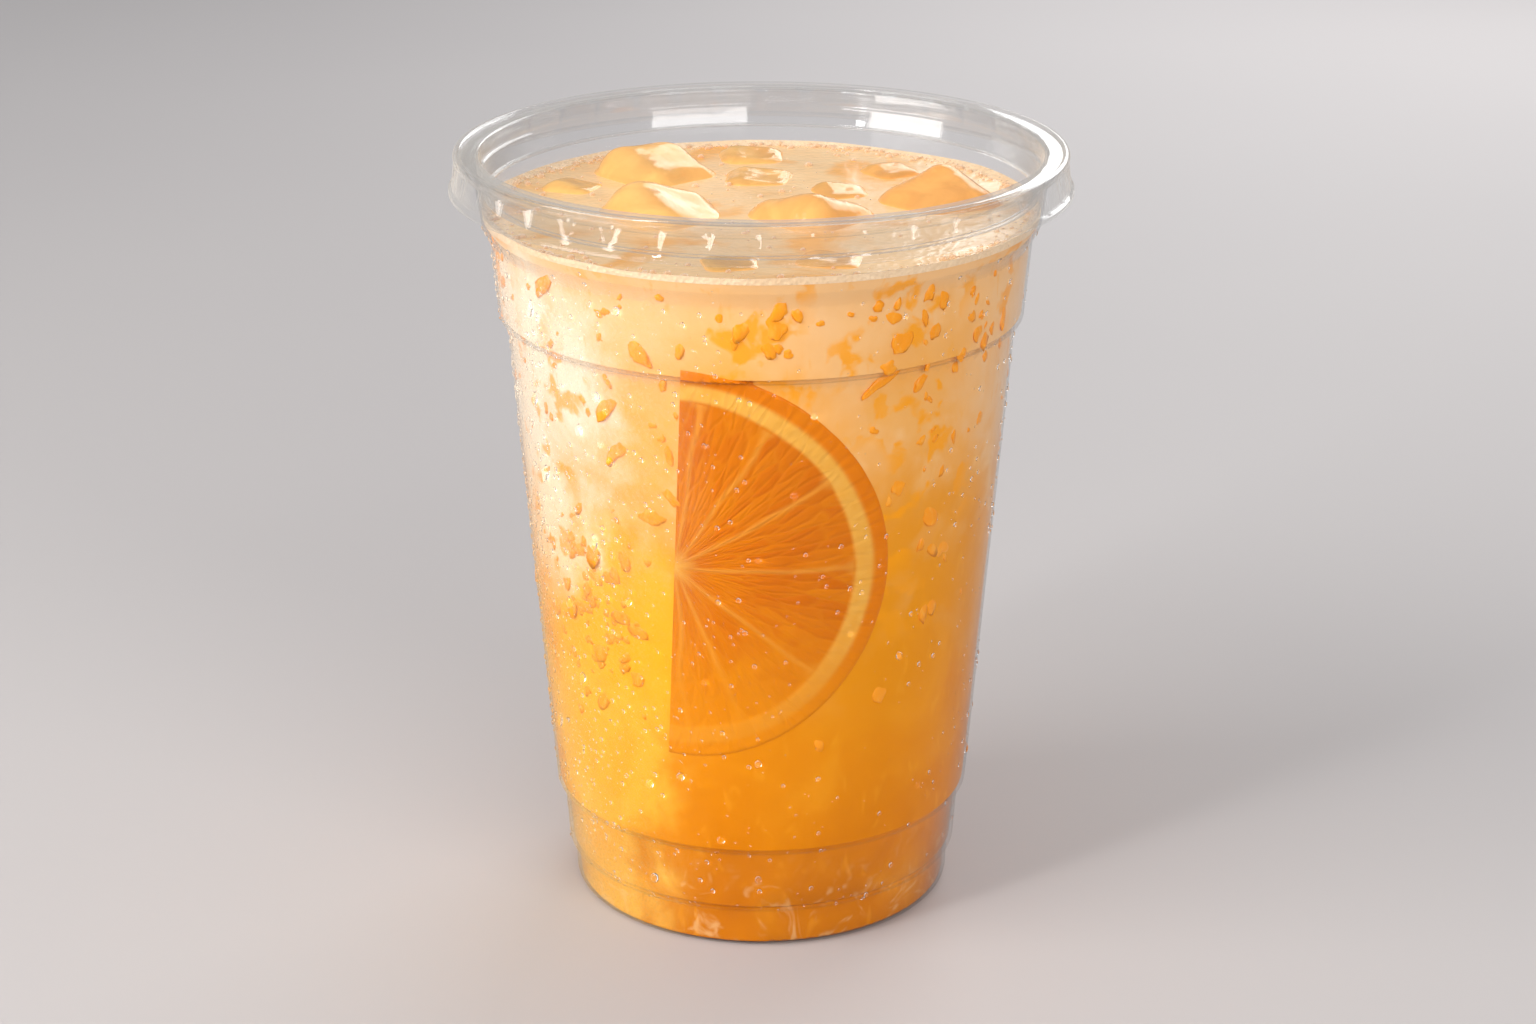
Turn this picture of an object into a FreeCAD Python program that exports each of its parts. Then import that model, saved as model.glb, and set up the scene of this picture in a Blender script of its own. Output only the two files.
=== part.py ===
import FreeCAD, Part
import math
import os
import Sketcher

# A take-away cup of an orange and probiotic milk drink over ice, in millimetres.
# +Z is up, the front is -Y, and the origin is the middle of the foot on the table.

doc = FreeCAD.newDocument("ProbioticDrink")
sheet = doc.addObject("Spreadsheet::Sheet", "Sizes")

DIMENSIONS = (
    # the cup, a thin thermoformed wall with a raised bottom and two stepped ledges
    ("cup_wall", 0.5),
    ("foot_radius", 32.4),
    ("foot_top_radius", 32.6),
    ("foot_height", 7.0),
    ("foot_round", 1.2),
    ("punt_radius", 27.5),
    ("punt_rise", 2.2),
    ("punt_slope", 1.6),
    ("waist_radius", 33.6),
    ("waist_top_radius", 34.4),
    ("waist_top", 18.3),
    ("wall_radius", 35.5),
    ("wall_top_radius", 42.1),
    ("wall_top", 101.7),
    ("band_radius", 43.3),
    ("band_top_radius", 44.45),
    ("band_top", 115.0),
    ("flare_radius", 45.75),
    ("flare_rise", 2.3),
    ("neck_radius", 46.95),
    ("ledge_round", 0.35),
    ("rim_height", 127.9),
    ("curl_radius", 0.95),
    ("curl_wall", 0.45),
    # the push-fit lid ring, open in the middle
    ("lid_wall", 0.45),
    ("lid_seat", 0.15),
    ("plug_fit", 0.1),
    ("plug_depth", 6.5),
    ("plug_step_depth", 3.2),
    ("plug_step", 0.35),
    ("flange_width", 0.9),
    ("lid_corner", 0.4),
    ("bead_reach", 0.95),
    ("bead_radius", 0.65),
    ("bead_neck", 0.25),
    ("skirt_height", 5.2),
    ("skirt_draft", 0.45),
    ("lip_height", 0.6),
    ("lip_flare", 0.65),
    # the pinched dimples that snap the skirt under the rim
    ("dimple_count", 40),
    ("dimple_width", 2.5),
    ("dimple_length", 4.0),
    ("dimple_inset", 0.45),
    ("dimple_tip", 0.08),
    ("snap_gap", 0.1),
    # the drink
    ("drink_level", 118.6),
    ("fill_gap", 0.05),
    # the half slice of orange, bent against the front of the cup
    ("slice_radius", 34.2),
    ("slice_thickness", 5.0),
    ("slice_offset", 13.7),
    ("slice_height", 69.8),
    ("slice_tilt", 2.3),
    ("slice_gap", 0.15),
    # the ice, tray-moulded blocks with a slight draft and melted edges
    ("ice_draft", 5.0),
    ("ice_melt", 0.24),
    ("ice_gap", 0.3),
)

# Each floating block: its edge, its bearing from +X, its distance from the axis as a
# share of the well's radius, the depth of its middle below the level, and its yaw,
# pitch and roll.
ICE_BLOCKS = (
    ("ice_01", 21.0, 128.0, 0.715, 7.0, 38.0, 6.0, 13.0),
    ("ice_02", 13.5, 93.0, 0.835, 5.5, 3.0, 3.0, 6.0),
    ("ice_03", 14.0, 92.0, 0.470, 5.9, -6.0, 7.0, 6.0),
    ("ice_04", 11.0, 157.0, 0.810, 4.6, 64.0, 5.0, 8.0),
    ("ice_05", 22.0, 194.0, 0.410, 7.6, 30.0, 20.0, 16.0),
    ("ice_06", 21.0, 316.0, 0.260, 7.6, 42.0, 20.0, -18.0),
    ("ice_07", 11.0, 38.0, 0.385, 4.6, 14.0, 7.0, 6.0),
    ("ice_08", 11.0, 48.0, 0.765, 4.6, 30.0, 4.0, 5.0),
    ("ice_09", 20.0, 10.0, 0.705, 6.7, 33.0, -15.0, 14.0),
    ("ice_10", 12.0, 262.0, 0.820, 5.6, 8.0, 4.0, 3.0),
    ("ice_11", 14.0, 288.0, 0.800, 6.6, -14.0, 5.0, -4.0),
)


class Size:
    """A length that carries its spreadsheet formula, so that what uses it stays bound."""

    def __init__(self, value, formula):
        self.value = value
        self.formula = formula

    def __add__(self, other):
        return Size(self.value + other.value, f"({self.formula} + {other.formula})")

    def __sub__(self, other):
        return Size(self.value - other.value, f"({self.formula} - {other.formula})")

    def __mul__(self, other):
        return Size(self.value * other.value, f"({self.formula} * {other.formula})")

    def __truediv__(self, other):
        return Size(self.value / other.value, f"({self.formula} / {other.formula})")


def number(value):
    return Size(value, repr(float(value)))


def store(alias, value):
    """Write one plain number to the sheet under its alias and return it as a Size."""
    store.row += 1
    cell = f"B{store.row}"
    sheet.set(f"A{store.row}", alias)
    sheet.set(cell, str(value))
    sheet.setAlias(cell, alias)
    return Size(float(value), f"Sizes.{alias}")


store.row = 0
size = {alias: store(alias, value) for alias, value in DIMENSIONS}
doc.recompute()

ZERO = number(0)
TWO = number(2)


def origin_feature(body, role):
    return next(part for part in body.Origin.OriginFeatures if part.Role == role)


def new_body(label):
    body = doc.addObject("PartDesign::Body", label)
    body.Label = label
    return body


def new_sketch(body, name, plane):
    sketch = body.newObject("Sketcher::SketchObject", name)
    sketch.AttachmentSupport = [(origin_feature(body, plane), "")]
    sketch.MapMode = "FlatFace"
    return sketch


def arc_between(first, last, bend):
    """The short arc from first to last; a positive bend turns left, a negative one right."""
    chord = last - first
    radius = abs(bend)
    lift = math.sqrt(max(radius**2 - (chord.Length / 2) ** 2, 0.0))
    side = FreeCAD.Vector(-chord.y, chord.x, 0).normalize() * math.copysign(1.0, bend)
    centre = (first + last) / 2 + side * lift
    circle = Part.Circle(centre, FreeCAD.Vector(0, 0, 1), radius)
    start, end = (first, last) if bend > 0 else (last, first)
    return Part.ArcOfCircle(circle, circle.parameter(start), circle.parameter(end))


def draw_outline(sketch, corners):
    """A closed outline: (across, up) corners, with a third value where an arc leads there."""
    points = [FreeCAD.Vector(corner[0].value, corner[1].value, 0) for corner in corners]
    geometry = []
    ends = []
    for index, corner in enumerate(corners):
        bend = corner[2] if len(corner) > 2 else ZERO
        if bend.value:
            geometry.append(arc_between(points[index - 1], points[index], bend.value))
            ends.append((1, 2) if bend.value > 0 else (2, 1))
        else:
            geometry.append(Part.LineSegment(points[index - 1], points[index]))
            ends.append((1, 2))
    sketch.addGeometry(geometry, False)
    for index, corner in enumerate(corners):
        following = (index + 1) % len(corners)
        here = (index, ends[index][1])
        joined = Sketcher.Constraint("Coincident", *here, following, ends[following][0])
        sketch.addConstraint(joined)
        for kind, place, axis in (("DistanceX", corner[0], -2), ("DistanceY", corner[1], -1)):
            if place.value:
                made = sketch.addConstraint(Sketcher.Constraint(kind, -1, 1, *here, place.value))
                sketch.setExpression(f"Constraints[{made}]", place.formula)
            else:
                sketch.addConstraint(Sketcher.Constraint("PointOnObject", *here, axis))
        if len(corner) > 2 and corner[2].value:
            radius = corner[2] if corner[2].value > 0 else ZERO - corner[2]
            made = sketch.addConstraint(Sketcher.Constraint("Radius", index, radius.value))
            sketch.setExpression(f"Constraints[{made}]", radius.formula)


def revolved(label, corners):
    """A body turned about Z from a closed (radius, height) outline."""
    body = new_body(label)
    sketch = new_sketch(body, f"{label}_profile", "XZ_Plane")
    draw_outline(sketch, corners)
    turned = body.newObject("PartDesign::Revolution", f"{label}_turned")
    turned.Profile = sketch
    turned.ReferenceAxis = (sketch, ["V_Axis"])
    turned.Angle = 360
    sketch.Visibility = False
    return body


def combined(kind, name, base, tool):
    """A Part boolean of two objects: kind is Common or Cut."""
    made = doc.addObject(f"Part::{kind}", name)
    made.Base = base
    made.Tool = tool
    return made


def on_line(low, high, height):
    """The radius at a height on the straight wall from low to high, each (radius, height)."""
    slope = (high[0] - low[0]) / (high[1] - low[1])
    return low[0] + slope * (height - low[1])


def moved(corners, inward, upward):
    """The same run of corners, shifted towards the axis and upwards."""
    return [(corner[0] - inward, corner[1] + upward, *corner[2:]) for corner in corners]


def reversed_run(corners):
    """The same run walked the other way, with each arc handed on to its new end."""
    run = []
    bend_ahead = None
    for corner in reversed(corners):
        place = (corner[0], corner[1])
        run.append(place if bend_ahead is None else (*place, ZERO - bend_ahead))
        bend_ahead = corner[2] if len(corner) > 2 else None
    return run


def ledge(below, above, height):
    """A step out from one radius to the next, rounded into the walls below and above it."""
    bend = size["ledge_round"]
    return [
        (below, height - bend),
        (below + bend, height, ZERO - bend),
        (above - bend, height),
        (above, height + bend, bend),
    ]


# ---- the cup ----
flare_top = size["band_top"] + size["flare_rise"]
curl_height = size["rim_height"] - size["curl_radius"]
curl_middle = size["neck_radius"] + size["curl_radius"]
neck_top = curl_height - size["curl_radius"]

wall_run = [
    *ledge(size["foot_top_radius"], size["waist_radius"], size["foot_height"]),
    *ledge(size["waist_top_radius"], size["wall_radius"], size["waist_top"]),
    *ledge(size["wall_top_radius"], size["band_radius"], size["wall_top"]),
    (size["band_top_radius"], size["band_top"]),
    (size["flare_radius"], flare_top),
]


def inner_run(gap):
    """The well of the cup from its middle up to the flare, at a gap inside the wall."""
    depth = size["cup_wall"] + gap
    slant = depth / TWO
    corner = size["foot_round"] - size["cup_wall"]
    return [
        (ZERO, size["punt_rise"] + depth),
        (size["punt_radius"] + slant, size["punt_rise"] + depth),
        (size["punt_radius"] + size["punt_slope"] + slant, depth),
        (size["foot_radius"] - depth - corner, depth),
        (size["foot_radius"] - depth, depth + corner, corner),
        *moved(wall_run, depth, depth),
    ]


def cup():
    """One thin wall from the raised bottom up to the rolled rim."""
    wall = size["cup_wall"]
    curl = size["curl_radius"]
    curl_inside = curl - size["curl_wall"]
    outside = [
        (ZERO, size["punt_rise"]),
        (size["punt_radius"], size["punt_rise"]),
        (size["punt_radius"] + size["punt_slope"], ZERO),
        (size["foot_radius"] - size["foot_round"], ZERO),
        (size["foot_radius"], size["foot_round"], size["foot_round"]),
        *wall_run,
        (size["neck_radius"], neck_top),
    ]
    rolled_rim = [
        (curl_middle - curl_inside, curl_height),
        (curl_middle, curl_height + curl_inside, ZERO - curl_inside),
        (curl_middle + curl_inside, curl_height, ZERO - curl_inside),
        (curl_middle, curl_height - curl_inside, ZERO - curl_inside),
        (curl_middle, curl_height - curl),
        (curl_middle + curl, curl_height, curl),
        (curl_middle, curl_height + curl, curl),
        (curl_middle - curl, curl_height, curl),
        (size["neck_radius"] - wall, neck_top + wall),
    ]
    return revolved("cup", [*outside, *rolled_rim, *reversed_run(inner_run(ZERO))])


# ---- the lid ring ----
# It plugs into the neck, lies on the rim and snaps its skirt under the curl.
lid_wall = size["lid_wall"]
plateau_under = size["rim_height"] + size["lid_seat"]
plateau = plateau_under + lid_wall
bead_middle = curl_middle + size["curl_radius"] + size["bead_reach"] - size["lid_corner"]
bead_height = plateau + size["lid_corner"] - size["bead_radius"]
bead_outside = bead_middle + size["bead_radius"]
skirt_top = bead_height - size["bead_radius"]
skirt_bottom = skirt_top - size["skirt_height"]


def neck_inside(height):
    """The cup's inner radius on its straight neck, where the lid's plug goes in."""
    wall = size["cup_wall"]
    low = (size["flare_radius"] - wall, flare_top + wall)
    high = (size["neck_radius"] - wall, neck_top + wall)
    return on_line(low, high, height)


def lid_profile():
    """The ring's section: flange, stepped plug, plateau, bead, draughted skirt and lip."""
    bottom = plateau - size["plug_depth"]
    step = plateau - size["plug_step_depth"]
    plug_low = neck_inside(bottom) - size["plug_fit"] - lid_wall - size["plug_step"] / TWO
    plug_mid = neck_inside(step) - size["plug_fit"] - lid_wall - size["plug_step"]
    plug_high = plug_mid + size["plug_step"]
    step_top = step + size["plug_step"]
    corner = size["lid_corner"]
    bead = size["bead_radius"]
    bead_inside = bead - lid_wall
    lip_top = skirt_bottom + size["lip_height"]
    skirt_radius = skirt_face(skirt_top - bead_inside)
    skirt_low = skirt_face(lip_top + lid_wall)
    lip = skirt_low + size["lip_flare"]
    return [
        (plug_low - size["flange_width"], bottom),
        (plug_low + lid_wall, bottom),
        (plug_mid + lid_wall, step),
        (plug_high + lid_wall, step_top),
        (plug_high + lid_wall, plateau_under),
        (bead_middle - bead, plateau_under),
        (bead_middle, bead_height + bead_inside),
        (bead_middle + bead_inside, bead_height, ZERO - bead_inside),
        (bead_outside - size["bead_neck"] - lid_wall, skirt_top + bead_inside),
        (skirt_radius - lid_wall, skirt_top - bead_inside),
        (skirt_low - lid_wall, lip_top + lid_wall),
        (lip - lid_wall, lip_top - lid_wall),
        (lip - lid_wall, skirt_bottom),
        (lip, skirt_bottom),
        (lip, lip_top),
        (skirt_low, lip_top + lid_wall),
        (skirt_radius, skirt_top - bead_inside),
        (bead_outside - size["bead_neck"], skirt_top + bead_inside),
        (bead_outside, bead_height, bead),
        (bead_middle, bead_height + bead, bead),
        (bead_middle - bead, plateau),
        (plug_high + corner, plateau),
        (plug_high, plateau - corner, corner),
        (plug_high, step_top),
        (plug_mid, step),
        (plug_low, bottom + lid_wall),
        (plug_low - size["flange_width"], bottom + lid_wall),
    ]


def skirt_face(height):
    """The skirt's outer radius at a height; it widens downwards by its draft."""
    top = (bead_outside - size["bead_neck"] / TWO, skirt_top)
    bottom = (top[0] + size["skirt_draft"], skirt_bottom)
    return on_line(bottom, top, height)


def notch(body, name, height, base, apex, half_width):
    """A flat triangle at a height whose point looks at the axis."""
    sketch = new_sketch(body, name, "XY_Plane")
    sketch.setExpression("AttachmentOffset.Base.z", height.formula)
    draw_outline(sketch, [(apex, ZERO), (base, ZERO - half_width), (base, half_width)])
    sketch.Visibility = False
    return sketch


def dimple_ring(body, name, kind, base_offset, apex_offset):
    """A ring of V-shaped dimples, wide and deep at the top and fading out at the tip."""
    top = skirt_top - size["dimple_inset"]
    tip = top - size["dimple_length"]
    deepest = curl_middle + size["curl_radius"] + size["snap_gap"] + lid_wall
    flank = size["dimple_width"] / TWO / (skirt_face(top) - deepest)
    sections = []
    for end, height, apex in (
        ("top", top, deepest),
        ("tip", tip, skirt_face(tip) - size["dimple_tip"]),
    ):
        base = skirt_face(height) + base_offset
        point = apex - apex_offset
        half_width = flank * (base - point)
        sections.append(notch(body, f"{name}_{end}", height, base, point, half_width))
    loft = body.newObject(f"PartDesign::{kind}Loft", f"{name}_loft")
    loft.Profile = sections[0]
    loft.Sections = [sections[1]]
    loft.Ruled = True
    ring = body.newObject("PartDesign::PolarPattern", f"{name}_ring")
    ring.Originals = [loft]
    ring.Axis = (origin_feature(body, "Z_Axis"), [""])
    ring.Angle = 360
    ring.setExpression("Occurrences", size["dimple_count"].formula)
    body.Tip = ring


def lid_ring():
    """The turned ring; each dimple stands in as a bump and is then hollowed from outside."""
    body = revolved("lid_ring", lid_profile())
    dimple_ring(body, "bump", "Additive", ZERO - lid_wall / TWO, lid_wall)
    dimple_ring(body, "hollow", "Subtractive", lid_wall / TWO, ZERO)
    return body


# ---- the orange slice ----
def wall_inside(height):
    """The cup's inner radius on its main wall, carried on above it in a straight line."""
    wall = size["cup_wall"]
    low = (size["wall_radius"] - wall, size["waist_top"] + wall)
    high = (size["wall_top_radius"] - wall, size["wall_top"] + wall)
    return on_line(low, high, height)


def orange_slice():
    """A half disc seen from the front, cut out of a shell that follows the cup's wall."""
    bottom = size["slice_height"] - size["slice_radius"] - size["slice_thickness"]
    top = size["slice_height"] + size["slice_radius"] + size["slice_thickness"]
    low = wall_inside(bottom) - size["slice_gap"]
    high = wall_inside(top) - size["slice_gap"]
    thickness = size["slice_thickness"]
    shell_run = [(low - thickness, bottom), (low, bottom), (high, top), (high - thickness, top)]
    shell = revolved("slice_shell", shell_run)

    disc = new_body("slice_disc")
    sketch = new_sketch(disc, "slice_disc_outline", "XZ_Plane")
    radius = size["slice_radius"]
    draw_outline(sketch, [(ZERO, ZERO - radius), (radius, ZERO, radius), (ZERO, radius, radius)])
    sketch.AttachmentOffset = FreeCAD.Placement(
        FreeCAD.Vector(), FreeCAD.Rotation(FreeCAD.Vector(0, 0, 1), -size["slice_tilt"].value)
    )
    sketch.setExpression("AttachmentOffset.Base.x", (ZERO - size["slice_offset"]).formula)
    sketch.setExpression("AttachmentOffset.Base.y", size["slice_height"].formula)
    pad = disc.newObject("PartDesign::Pad", "slice_disc_pad")
    pad.Profile = sketch
    pad.setExpression("Length", (size["wall_top_radius"] + thickness).formula)
    sketch.Visibility = False

    return combined("Common", "orange_slice", shell, disc)


# ---- the ice ----
neck_inner = size["neck_radius"] - size["cup_wall"]
well_radius = size["band_radius"] - size["cup_wall"]


def well_space(label, gap):
    """All the room inside the cup, at a gap from its wall."""
    return revolved(label, [*inner_run(gap), (neck_inner - gap, neck_top), (ZERO, neck_top)])


def ice_block(label, edge, bearing, reach, depth, yaw, pitch, roll):
    """One moulded block with draught and melted edges, floating in the drink."""
    edge = store(f"{label}_edge", edge)
    bearing = store(f"{label}_bearing", bearing)
    reach = store(f"{label}_reach", reach)
    depth = store(f"{label}_depth", depth)
    half = edge / TWO
    body = new_body(f"{label}_block")
    sketch = new_sketch(body, f"{label}_square", "XY_Plane")
    low = ZERO - half
    draw_outline(sketch, [(low, low), (half, low), (half, half), (low, half)])
    sketch.setExpression("AttachmentOffset.Base.z", low.formula)
    block = body.newObject("PartDesign::Pad", f"{label}_moulded")
    block.Profile = sketch
    block.setExpression("Length", edge.formula)
    block.setExpression("TaperAngle", (ZERO - size["ice_draft"]).formula)
    melted = body.newObject("PartDesign::Fillet", f"{label}_melted")
    melted.Base = (block, [""])
    melted.UseAllEdges = True
    melted.setExpression("Radius", (edge * size["ice_melt"]).formula)
    sketch.Visibility = False
    body.Placement = FreeCAD.Placement(FreeCAD.Vector(), FreeCAD.Rotation(yaw, pitch, roll))
    away = (well_radius * reach).formula
    body.setExpression("Placement.Base.x", f"{away} * cos({bearing.formula} * 1 deg)")
    body.setExpression("Placement.Base.y", f"{away} * sin({bearing.formula} * 1 deg)")
    body.setExpression("Placement.Base.z", (size["drink_level"] - depth).formula)
    return body


def floating_ice(garnish):
    """The blocks, each melted back where a smaller cup would press it on its neighbours."""
    room = well_space("ice_room", size["ice_gap"])
    settled = []
    for block in ICE_BLOCKS:
        label = block[0]
        inside = combined("Common", f"{label}_inside", ice_block(*block), room)
        for neighbour in [garnish, *settled]:
            inside = combined("Cut", f"{label}_beside_{neighbour.Label}", inside, neighbour)
        inside.Label = label
        settled.append(inside)
    return settled


# ---- the drink ----
def drink(sunk_pieces):
    """The liquid fills the well up to its level, cut round what hangs and floats in it."""
    column = doc.addObject("Part::Cylinder", "column")
    column.setExpression("Radius", size["neck_radius"].formula)
    column.setExpression("Height", size["drink_level"].formula)
    filled = combined("Common", "filled_well", well_space("well", size["fill_gap"]), column)
    sunk = doc.addObject("Part::MultiFuse", "sunk_pieces")
    sunk.Shapes = sunk_pieces
    return combined("Cut", "drink", filled, sunk)


garnish = orange_slice()
ice = floating_ice(garnish)
pieces = [cup(), lid_ring(), garnish, *ice, drink([garnish, *ice])]
doc.recompute()

for made in doc.Objects:
    if "Invalid" in made.State or "Error" in made.State:
        raise RuntimeError(f"{made.Label} failed: {made.State}")
for piece in pieces:
    if piece.Shape.isNull() or not piece.Shape.isValid():
        raise RuntimeError(f"{piece.Label} has no valid shape")

os.makedirs("parts", exist_ok=True)
for piece in pieces:
    piece.Shape.exportStep(f"parts/{piece.Label}.step")
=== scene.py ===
import math
import random

import bmesh
import bpy
import numpy as np
from mathutils import Matrix, Vector, noise


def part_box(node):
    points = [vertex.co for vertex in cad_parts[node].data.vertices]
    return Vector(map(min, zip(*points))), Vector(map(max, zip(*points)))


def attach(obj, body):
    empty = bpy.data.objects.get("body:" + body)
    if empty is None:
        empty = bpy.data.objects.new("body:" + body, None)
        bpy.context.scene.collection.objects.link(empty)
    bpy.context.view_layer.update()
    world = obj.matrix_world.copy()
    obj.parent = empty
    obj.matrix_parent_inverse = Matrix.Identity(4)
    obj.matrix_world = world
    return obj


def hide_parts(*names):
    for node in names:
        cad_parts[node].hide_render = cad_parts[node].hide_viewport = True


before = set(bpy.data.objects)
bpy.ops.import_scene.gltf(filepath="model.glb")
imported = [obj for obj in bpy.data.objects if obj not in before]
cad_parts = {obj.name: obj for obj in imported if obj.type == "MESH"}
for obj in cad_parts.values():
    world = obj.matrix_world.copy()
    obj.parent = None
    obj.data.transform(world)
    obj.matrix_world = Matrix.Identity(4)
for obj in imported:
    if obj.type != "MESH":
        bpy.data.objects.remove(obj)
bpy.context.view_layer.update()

# ---- The cup ----
# A thin cup of clear PET, thermoformed from one sheet: a raised bottom on a standing ring,
# two stacking ledges, a flared neck and a rolled rim. Cold drink mists its outside.
MM = 0.001
CUP_WALL = 0.5
CUP_TURNS = 224
RIM_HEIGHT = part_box("cup")[1][2] / MM
CURL = 0.95
NECK_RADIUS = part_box("cup")[1][0] / MM - 2 * CURL
NECK_TOP = RIM_HEIGHT - 2 * CURL
# at the foot, at each ledge: the radius below, the height, the radius above, in millimetres
CUP_RUN = (
    (32.6, 7.0, 33.6),
    (34.4, 18.3, 35.5),
    (42.1, 101.7, 43.3),
)
BAND_TOP = (44.45, 115.0)
FLARE_TOP = (45.75, 117.3)
FOOT_RADIUS = 32.4
FOOT_ROUND = 1.2
PUNT_RADIUS = 27.5
PUNT_RISE = 2.2
LEDGE_ROUND = 0.35


def linear(code, alpha=1.0):
    """An sRGB hex colour as the linear values that a shader takes."""
    parts = [int(code[i : i + 2], 16) / 255 for i in (1, 3, 5)]
    return (*[p / 12.92 if p <= 0.04045 else ((p + 0.055) / 1.055) ** 2.4 for p in parts], alpha)


def add(tree, kind, inputs=(), **settings):
    """Add one node, set its properties and fill its inputs; a node given as a value is linked."""
    node = tree.nodes.new(kind)
    for name, value in settings.items():
        setattr(node, name, value)
    for socket, value in dict(inputs).items():
        if isinstance(value, bpy.types.Node):
            value = next(output for output in value.outputs if output.enabled)
        if isinstance(value, bpy.types.NodeSocket):
            tree.links.new(value, node.inputs[socket])
        else:
            node.inputs[socket].default_value = value
    return node


def new_material(name):
    """A named material with an empty node tree, and that tree."""
    material = bpy.data.materials.new(name)
    material.use_nodes = True
    material.node_tree.nodes.clear()
    return material, material.node_tree


def rounded(corners, bends=6):
    """Replace each (radius, height, bend) corner of a run by the points of its arc."""
    run = []
    for index, corner in enumerate(corners):
        here = Vector(corner[:2])
        if len(corner) < 3:
            run.append(here)
            continue
        before = (Vector(corners[index - 1][:2]) - here).normalized()
        after = (Vector(corners[index + 1][:2]) - here).normalized()
        half = before.angle(after) / 2
        reach = corner[2] / math.tan(half)
        middle = here + (before + after).normalized() * corner[2] / math.sin(half)
        start = here + before * reach - middle
        turn = start.angle_signed(here + after * reach - middle)
        for step in range(bends + 1):
            spin = Matrix.Rotation(-turn * step / bends, 2)
            run.append(middle + spin @ start)
    return run


def finished(name, shape, sharp=180):
    """A built shape as an object: faces outward, smooth but for edges sharper than an angle."""
    mesh = bpy.data.meshes.new(name)
    bmesh.ops.recalc_face_normals(shape, faces=shape.faces)
    shape.to_mesh(mesh)
    shape.free()
    mesh.shade_smooth()
    mesh.set_sharp_from_angle(angle=math.radians(sharp))
    piece = bpy.data.objects.new(name, mesh)
    bpy.context.scene.collection.objects.link(piece)
    return piece


def lathe(name, run, turns, warp=None):
    """Turn a closed (radius, height) run about Z; warp may move each (angle, radius, height)."""
    rings = []
    shape = bmesh.new()
    for radius, height in run:
        if radius < 1e-6:
            rings.append([shape.verts.new((0, 0, height * MM))] * turns)
            continue
        ring = []
        for turn in range(turns):
            angle = 2 * math.pi * turn / turns
            r, z = warp(angle, radius, height) if warp else (radius, height)
            x, y = r * math.cos(angle), r * math.sin(angle)
            ring.append(shape.verts.new((x * MM, y * MM, z * MM)))
        rings.append(ring)
    for low, high in zip(rings, rings[1:] + rings[:1]):
        for turn in range(turns):
            after = (turn + 1) % turns
            corners = [low[turn], low[after], high[after], high[turn]]
            corners = [v for i, v in enumerate(corners) if v not in corners[:i]]
            if len(corners) > 2:
                shape.faces.new(corners)
    return finished(name, shape, 40)


def cup_outside():
    """The cup's outer run from the standing ring up to the neck."""
    run = [(FOOT_RADIUS, 0.0, FOOT_ROUND)]
    for below, height, above in CUP_RUN:
        run += [(below, height, LEDGE_ROUND), (above, height, LEDGE_ROUND)]
    return [*run, (*BAND_TOP, 1.5), (*FLARE_TOP, 1.5), (NECK_RADIUS, NECK_TOP)]


def cup_profile():
    """The whole section: up the outside, round the rolled rim and down the inside."""
    inside = [(c[0] - CUP_WALL, c[1] + CUP_WALL, *c[2:]) for c in cup_outside()]
    inside[0] = (FOOT_RADIUS - CUP_WALL, CUP_WALL, FOOT_ROUND - CUP_WALL)
    middle = Vector((NECK_RADIUS + CURL, RIM_HEIGHT - CURL))
    curl = []
    for radius, first, last in ((CURL - 0.45, 180, -90), (CURL, -90, 180)):
        for step in range(19):
            angle = math.radians(first + (last - first) * step / 18)
            curl.append(middle + radius * Vector((math.cos(angle), math.sin(angle))))
    bottom = [(0, PUNT_RISE), (PUNT_RADIUS, PUNT_RISE, 1.0), (PUNT_RADIUS + 1.6, 0.0, 0.5)]
    floor = [(PUNT_RADIUS + 1.85, CUP_WALL, 0.5), (PUNT_RADIUS + 0.25, PUNT_RISE + CUP_WALL, 1.0)]
    down = [*reversed(inside), *floor, (0, PUNT_RISE + CUP_WALL)]
    return [*rounded([*bottom, *cup_outside()]), *curl, *rounded(down)]


cup = lathe("cup_wall", cup_profile(), CUP_TURNS)


def clear_plastic(name, tint, edge, sheen, rough_to):
    """Clear PET film: see-through face on, darker and mirror-bright where it is seen edgewise."""
    material, tree = new_material(name)
    place = add(tree, "ShaderNodeTexCoord").outputs["Object"]
    ripple = add(tree, "ShaderNodeTexNoise", {"Vector": place, "Scale": 90.0})
    bump = add(tree, "ShaderNodeBump", {"Strength": 0.25, "Distance": 0.0004, "Height": ripple})
    facing = add(tree, "ShaderNodeLayerWeight", {"Blend": 0.5, "Normal": bump}).outputs["Facing"]
    rim = add(tree, "ShaderNodeMath", {0: facing, 1: 3.0}, operation="POWER")
    colour = add(
        tree,
        "ShaderNodeMix",
        {"Factor": rim, "A": linear(tint), "B": linear(edge)},
        data_type="RGBA",
    )
    clear = add(tree, "ShaderNodeBsdfTransparent", {"Color": colour})
    smear = add(
        tree,
        "ShaderNodeTexNoise",
        {"Vector": place, "Scale": 260.0, "Detail": 4.0, "Roughness": 0.6},
    )
    rough = add(tree, "ShaderNodeMapRange", {"Value": smear, "To Min": 0.02, "To Max": rough_to})
    gloss = add(tree, "ShaderNodeBsdfAnisotropic", {"Roughness": rough, "Normal": bump})
    steep = add(tree, "ShaderNodeMath", {0: facing, 1: 5.0}, operation="POWER")
    shine = add(tree, "ShaderNodeMapRange", {"Value": steep, "To Min": sheen, "To Max": 0.85})
    film = add(tree, "ShaderNodeMixShader", {0: shine, 1: clear, 2: gloss})
    # a white diffuse layer: condensation mist on the cup, a painted edge highlight on the lid
    mist_and_edge_glow = add(tree, "ShaderNodeBsdfDiffuse", {"Color": linear("#FFF6EA")})
    return material, tree, place, film, mist_and_edge_glow


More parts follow.
